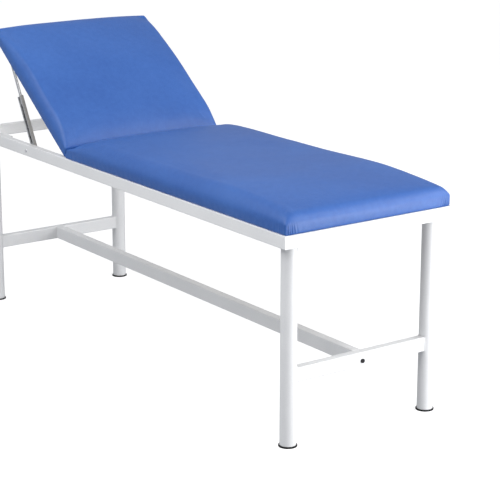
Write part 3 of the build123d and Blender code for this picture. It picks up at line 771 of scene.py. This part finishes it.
def close_under_board(section, skin, length, start):
    """Closes a skin: its hem turns back along the board's underside, up its edge and over it."""
    work = bmesh.new()
    work.from_mesh(skin.data)
    border = [edge for edge in work.edges if edge.is_boundary]
    middle = np.array((length / 2 + start, 0))
    full_size = np.array((length, section.width))
    hem_size = full_size - 2 * hem_width
    over_board = section.board_high - section.board_low + board_slack
    for height, spread in ((-board_slack, False), (-board_slack, True), (over_board, False)):
        made = bmesh.ops.extrude_edge_only(work, edges=border)["geom"]
        ring = [part for part in made if isinstance(part, bmesh.types.BMVert)]
        border = [
            part for part in made
            if isinstance(part, bmesh.types.BMEdge) and part.verts[0] in ring and part.verts[1] in ring
        ]
        local = section.local([v.co for v in ring])
        if spread:
            flat = (local[:, :2] - middle) * (full_size / hem_size) + np.array((length / 2, 0))
            radius = corner_radius - board_inset
            local[:, :2] = rounded_outline(flat, length, section.width, board_inset, radius)
            local[:, 0] += start
        local[:, 2] = height
        for vertex, place in zip(ring, section.world(local)):
            vertex.co = place
    bmesh.ops.holes_fill(work, edges=border, sides=0)
    bmesh.ops.recalc_face_normals(work, faces=work.faces)
    work.to_mesh(skin.data)
    work.free()
    skin.data.polygons.foreach_set("use_smooth", [True] * len(skin.data.polygons))


def upholstered_pad(section, shape, name):
    """One cushion: start shape, cloth, finer mesh, folds, and the skin closed round its board."""
    points, faces, ring, length = pad_start(section, shape)
    hold = np.interp(points[:, 2], [pin_height, wall_top, foam_height], [1.0, 0.6, foam_hold])
    points = inflate(points, faces, hold.round(2), inflate_cap)
    skin = smooth_object(name, points, faces, levels=1)
    finer = mesh_points(skin.data)
    normal_list = np.empty(len(finer) * 3)
    skin.data.vertices.foreach_get("normal", normal_list)
    finer = press_folds(section, finer, normal_list.reshape(-1, 3))
    # where the pads press on each other they are flat
    meeting = math.tan(fold / 2) * (finer[:, 2] + section.board_low) + contact_gap
    finer[:, 0] = np.maximum(finer[:, 0], meeting)
    skin.data.vertices.foreach_set("co", section.world(finer).ravel())
    close_under_board(section, skin, length, shape["start"])
    skin.data.materials.clear()
    skin.data.materials.append(blue_vinyl)
    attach(skin, section.body)
    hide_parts(section.pad_node)
    top = finer[:, 2].max()
    print(f"{name}: {len(skin.data.vertices)} vertices, top {top * 1000:.1f} mm above its board's foot")
    return skin


main_cushion = upholstered_pad(main, main_shape, "main_cushion")
backrest_cushion = upholstered_pad(backrest, backrest_shape, "backrest_cushion")

# %% [markdown]
# ## Finishes on the CAD pieces
# Each CAD node keeps its shape and gets the finish of its material slot. The slots come from the
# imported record, so a node that is added later finds its finish by itself.

# %% Assign finishes
board_material = {
    "main_board": plywood("plywood_flat", 0.0, main.board_low + hinge_axis_point[2],
                          main.board_high - main.board_low),
    "backrest_board": plywood("plywood_leaning", fold, 0.0, backrest.board_high - backrest.board_low),
}
finishes = {
    "powder_coat_white": powder_coat(),
    "zinc_steel": zinc("zinc_plate"),
    "black_rubber": black_rubber(),
    "black_steel": black_oxide(),
    "blue_vinyl": blue_vinyl,
}
dark_rack = zinc("rack_steel", (0.28, 0.28, 0.29, 1), (0.03, 0.03, 0.03, 1), 0.9, 0.38)
slot_of = {part["node"]: part["material_slot"] for part in frame["record"]["subparts"]}
for node_name, node in nodes.items():
    if node_name in board_material:
        material = board_material[node_name]
    elif node_name.endswith("stay_rack"):
        material = dark_rack
    else:
        material = finishes[slot_of[node_name]]
    node.data.materials.clear()
    node.data.materials.append(material)
print("finished nodes:", len(nodes))

# %% [markdown]
# ## Pieces that repeat
# Staples and weld ripples are hundreds of copies along a path, which is what Geometry Nodes are
# for. One class builds such a tree: it resamples a path at a set pitch, puts one small shape on
# each point, turns it to follow the path with a little seeded unevenness, and makes the result
# real. The tree's sizes are named inputs, so the same tree serves every path.


# %% A tree that repeats a shape along a path
class Repeat:
    """Geometry Nodes tree: one small shape again and again along a path."""

    def __init__(self, name, shape_kind, shape_inputs, seed):
        self.tree = bpy.data.node_groups.new(name, "GeometryNodeTree")
        self.identifiers = {}
        self.tree.interface.new_socket("Path", in_out="INPUT", socket_type="NodeSocketGeometry")
        for title, kind in (
            ("Pitch", "NodeSocketFloat"), ("Size", "NodeSocketVector"),
            ("Unevenness", "NodeSocketFloat"), ("Material", "NodeSocketMaterial"),
        ):
            socket = self.tree.interface.new_socket(title, in_out="INPUT", socket_type=kind)
            self.identifiers[title] = socket.identifier
        self.tree.interface.new_socket("Result", in_out="OUTPUT", socket_type="NodeSocketGeometry")
        given = self.add("NodeGroupInput")
        curve = self.add("GeometryNodeMeshToCurve", {"Mesh": given.outputs["Path"]})
        points = self.add(
            "GeometryNodeResampleCurve", {"Curve": curve.outputs[0], "Length": given.outputs["Pitch"]},
            mode="LENGTH",
        )
        tangent = self.add("GeometryNodeInputTangent")
        facing = self.add(
            "FunctionNodeAlignEulerToVector", {"Vector": tangent.outputs[0]}, axis="X", pivot_axis="Z"
        )
        wobble = self.add(
            "FunctionNodeRandomValue",
            {"Min": (-1.0, -1.0, -1.0), "Max": (1.0, 1.0, 1.0), "Seed": seed}, data_type="FLOAT_VECTOR",
        )
        turn = self.add(
            "ShaderNodeVectorMath", {0: wobble.outputs[0], "Scale": given.outputs["Unevenness"]},
            operation="SCALE",
        )
        turned = self.add(
            "FunctionNodeRotateEuler", {"Rotation": facing.outputs[0], "Rotate By": turn.outputs[0]},
            space="LOCAL",
        )
        shape = self.add(shape_kind, shape_inputs)
        copies = self.add(
            "GeometryNodeInstanceOnPoints",
            {"Points": points.outputs[0], "Instance": shape.outputs[0],
             "Rotation": turned.outputs[0], "Scale": given.outputs["Size"]},
        )
        real = self.add("GeometryNodeRealizeInstances", {"Geometry": copies.outputs[0]})
        coated = self.add(
            "GeometryNodeSetMaterial",
            {"Geometry": real.outputs[0], "Material": given.outputs["Material"]},
        )
        self.add("NodeGroupOutput", {"Result": coated.outputs[0]})

    def add(self, kind, inputs=None, **settings):
        """One node of the tree, with its settings, and its sockets set or joined."""
        made = self.tree.nodes.new(kind)
        for setting, value in settings.items():
            setattr(made, setting, value)
        for name, value in (inputs or {}).items():
            if isinstance(value, bpy.types.NodeSocket):
                self.tree.links.new(value, made.inputs[name])
            else:
                made.inputs[name].default_value = value
        return made

    def along(self, name, paths, material, pitch, size, unevenness, smooth=False):
        """New plain mesh object: the shape repeated along each closed or open path of points."""
        places, edges = [], []
        for path, closed in paths:
            start = len(places)
            places += [tuple(p) for p in path]
            edges += [(start + k, start + k + 1) for k in range(len(path) - 1)]
            if closed:
                edges.append((start + len(path) - 1, start))
        carrier_mesh = bpy.data.meshes.new(name + "_path")
        carrier_mesh.from_pydata(places, edges, [])
        carrier = bpy.data.objects.new(name + "_path", carrier_mesh)
        bpy.context.scene.collection.objects.link(carrier)
        modifier = carrier.modifiers.new("repeat", "NODES")
        modifier.node_group = self.tree
        values = {"Pitch": pitch, "Size": size, "Unevenness": unevenness, "Material": material}
        for title, value in values.items():
            modifier[self.identifiers[title]] = value
        graph = bpy.context.evaluated_depsgraph_get()
        plain = bpy.data.meshes.new_from_object(carrier.evaluated_get(graph))
        bpy.data.objects.remove(carrier)
        bpy.data.meshes.remove(carrier_mesh)
        plain.name = name
        plain.polygons.foreach_set("use_smooth", [smooth] * len(plain.polygons))
        made = bpy.data.objects.new(name, plain)
        bpy.context.scene.collection.objects.link(made)
        return made


# %% [markdown]
# **Staples** hold the turned-in vinyl on the underside of each board. Each is a thin flat crown,
# driven more or less in line with the board's edge. The hem gives a little under them. Each row
# stops short of the corners, so that no end row reaches over a side rail.

# %% Staples under the boards
staple_size = (0.0105, 0.0013, 0.0005)
staple_height = -0.00065     # middle of a crown, pressed into the hem
staple_unevenness = 0.05
staple_inset = 0.0245        # clear of the side rails under the hem
corner_gap = 0.010           # from a row's end to the next row's line
staples = Repeat("staple_row", "GeometryNodeMeshCube", {"Size": (1.0, 1.0, 1.0)}, seed=7)


def staple_rows(section, shape):
    """Rows of staples on the hem of one pad, one along each edge, riding on its body."""
    first = shape["start"] + staple_inset
    last = section.length - staple_inset
    side = section.width / 2 - staple_inset
    rows = []
    for y in (-side, side):
        rows.append([(first + corner_gap, y, staple_height), (last - corner_gap, y, staple_height)])
    for x in (first, last):
        rows.append([(x, corner_gap - side, staple_height), (x, side - corner_gap, staple_height)])
    row = staples.along(
        section.name + "_staples", [(section.world(ends), False) for ends in rows],
        finishes["zinc_steel"], staple_pitch, staple_size, staple_unevenness,
    )
    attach(row, section.body)
    print(f"{row.name}: {len(row.data.polygons) // 6} staples")
    return row


main_staples = staple_rows(main, main_shape)
backrest_staples = staple_rows(backrest, backrest_shape)

# %% [markdown]
# **Weld beads** run round the ends of the cross stretchers, where each meets its leg. A bead is a
# row of overlapping ripples, laid as the welder's torch moves on, under the powder coat. The path
# goes round the stretcher's section and follows the leg's round face.

# %% Weld beads
ripple_pitch = 0.0017
ripple_size = (0.0013, 0.0021, 0.0021)
ripple_unevenness = 0.12
ripples = Repeat("weld_bead", "GeometryNodeMeshIcoSphere", {"Radius": 1.0, "Subdivisions": 2}, seed=3)


def bead_path(stretcher, leg, side, step=0.003):
    """Closed path round a stretcher's section, on the face of the leg that it meets."""
    low, high = (np.array(corner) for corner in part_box(stretcher))
    leg_low, leg_high = (np.array(corner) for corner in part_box(leg))
    middle = (leg_low + leg_high) / 2
    radius = (leg_high[0] - leg_low[0]) / 2
    corners = [(low[0], low[2]), (high[0], low[2]), (high[0], high[2]), (low[0], high[2])]
    path = []
    for (x0, z0), (x1, z1) in zip(corners, corners[1:] + corners[:1]):
        count = max(2, round(math.hypot(x1 - x0, z1 - z0) / step))
        for k in range(count):
            x = x0 + (x1 - x0) * k / count
            z = z0 + (z1 - z0) * k / count
            reach = math.sqrt(max(radius**2 - (x - middle[0]) ** 2, 0))
            path.append((x, middle[1] - side * reach, z))
    return path, True


weld_paths = [
    bead_path(f"{end}_stretcher", f"{side_name}_{end}_leg", side)
    for end in ("head", "foot")
    for side_name, side in (("near", -1), ("far", 1))
]
weld_beads = ripples.along(
    "weld_beads", weld_paths, finishes["powder_coat_white"], ripple_pitch, ripple_size,
    ripple_unevenness, smooth=True,
)
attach(weld_beads, "frame")
print("weld beads:", len(weld_beads.data.polygons), "faces")

# %% [markdown]
# The floor is a matt sheet that glows a little below white. The backdrop is plain light, bright
# enough to read as white all the way round.

# %% Floor finish
floor_finish = Finish(
    "light_table", Roughness=0.7, Specular_IOR_Level=0.1, Emission_Color=(1, 1, 1, 1),
    Emission_Strength=0.76,
)
floor_tone = floor_finish.mix(floor_finish.noise(1.5), (0.44, 0.44, 0.44, 1), (0.46, 0.46, 0.46, 1))
floor_finish.feed("Base Color", floor_tone)
floor_mesh.materials.append(floor_finish.material)
wall_finish = Finish(
    "white_wall", Base_Color=(0, 0, 0, 1), Specular_IOR_Level=0.0, Emission_Color=(1, 1, 1, 1),
    Emission_Strength=1.05,
)
backdrop_mesh.materials.append(wall_finish.material)
print("floor and backdrop finished")
